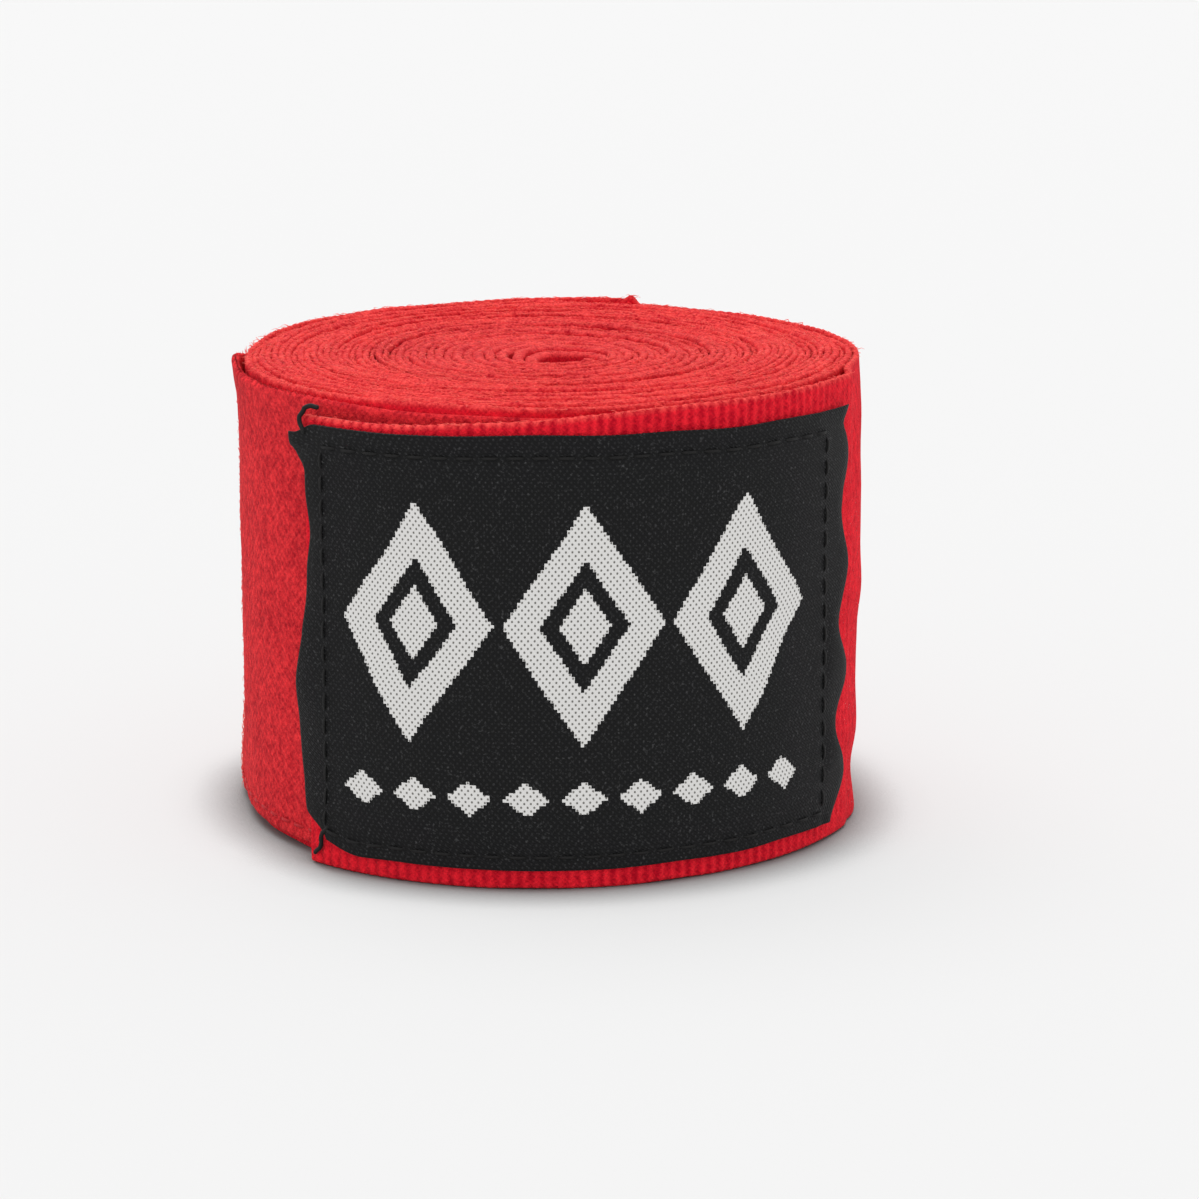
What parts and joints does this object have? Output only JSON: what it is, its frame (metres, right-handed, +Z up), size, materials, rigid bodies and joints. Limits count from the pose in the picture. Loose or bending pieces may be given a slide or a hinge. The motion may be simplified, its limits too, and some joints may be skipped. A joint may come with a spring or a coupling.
{
  "type": "boxing hand wrap",
  "caption": "Long cotton hand wrap band, rolled up on its edge and held shut by a hook-and-loop flap that carries a woven label.",
  "frame": {"origin": "on the floor, under the middle of the rolled band", "axes": "+Z up along the roll's axis, -Y towards the woven label, +X to the label's right"},
  "size_m": [0.0678, 0.0684, 0.0504],
  "materials": {
    "cotton_band": "matte",
    "loop_pile": "matte",
    "hook_tape": "satin",
    "woven_label": "satin",
    "cotton_tape": "matte",
    "black_thread": "satin",
    "red_thread": "satin"
  },
  "bodies": {
    "rolled_band": {"band_roll": "cotton_band", "loop_patch": "loop_pile", "loop_patch_stitching": "red_thread", "thumb_loop": "cotton_tape", "thumb_loop_stitching": "red_thread"},
    "last_turn": {"band_last_turn": "cotton_band"},
    "closing_flap": {"band_flap": "cotton_band", "hook_patch": "hook_tape", "woven_label": "woven_label", "label_stitching": "black_thread", "thread_tail_top": "black_thread", "thread_tail_bottom": "black_thread"}
  },
  "joints": [
    {"name": "last_turn_unroll", "type": "hinge", "parent": "rolled_band", "child": "last_turn", "pos_m": [-0.0236, 0.02477, 0.025], "axis": [0, 0, 1], "range_deg": [0, 40]},
    {"name": "flap_peel", "type": "hinge", "parent": "last_turn", "child": "closing_flap", "pos_m": [0.03302, -0.00986, 0.025], "axis": [0, 0, 1], "range_deg": [0, 120]}
  ],
  "couplings": [
    {"joint": "last_turn_unroll", "follows": "flap_peel", "ratio": 0.33333}
  ]
}
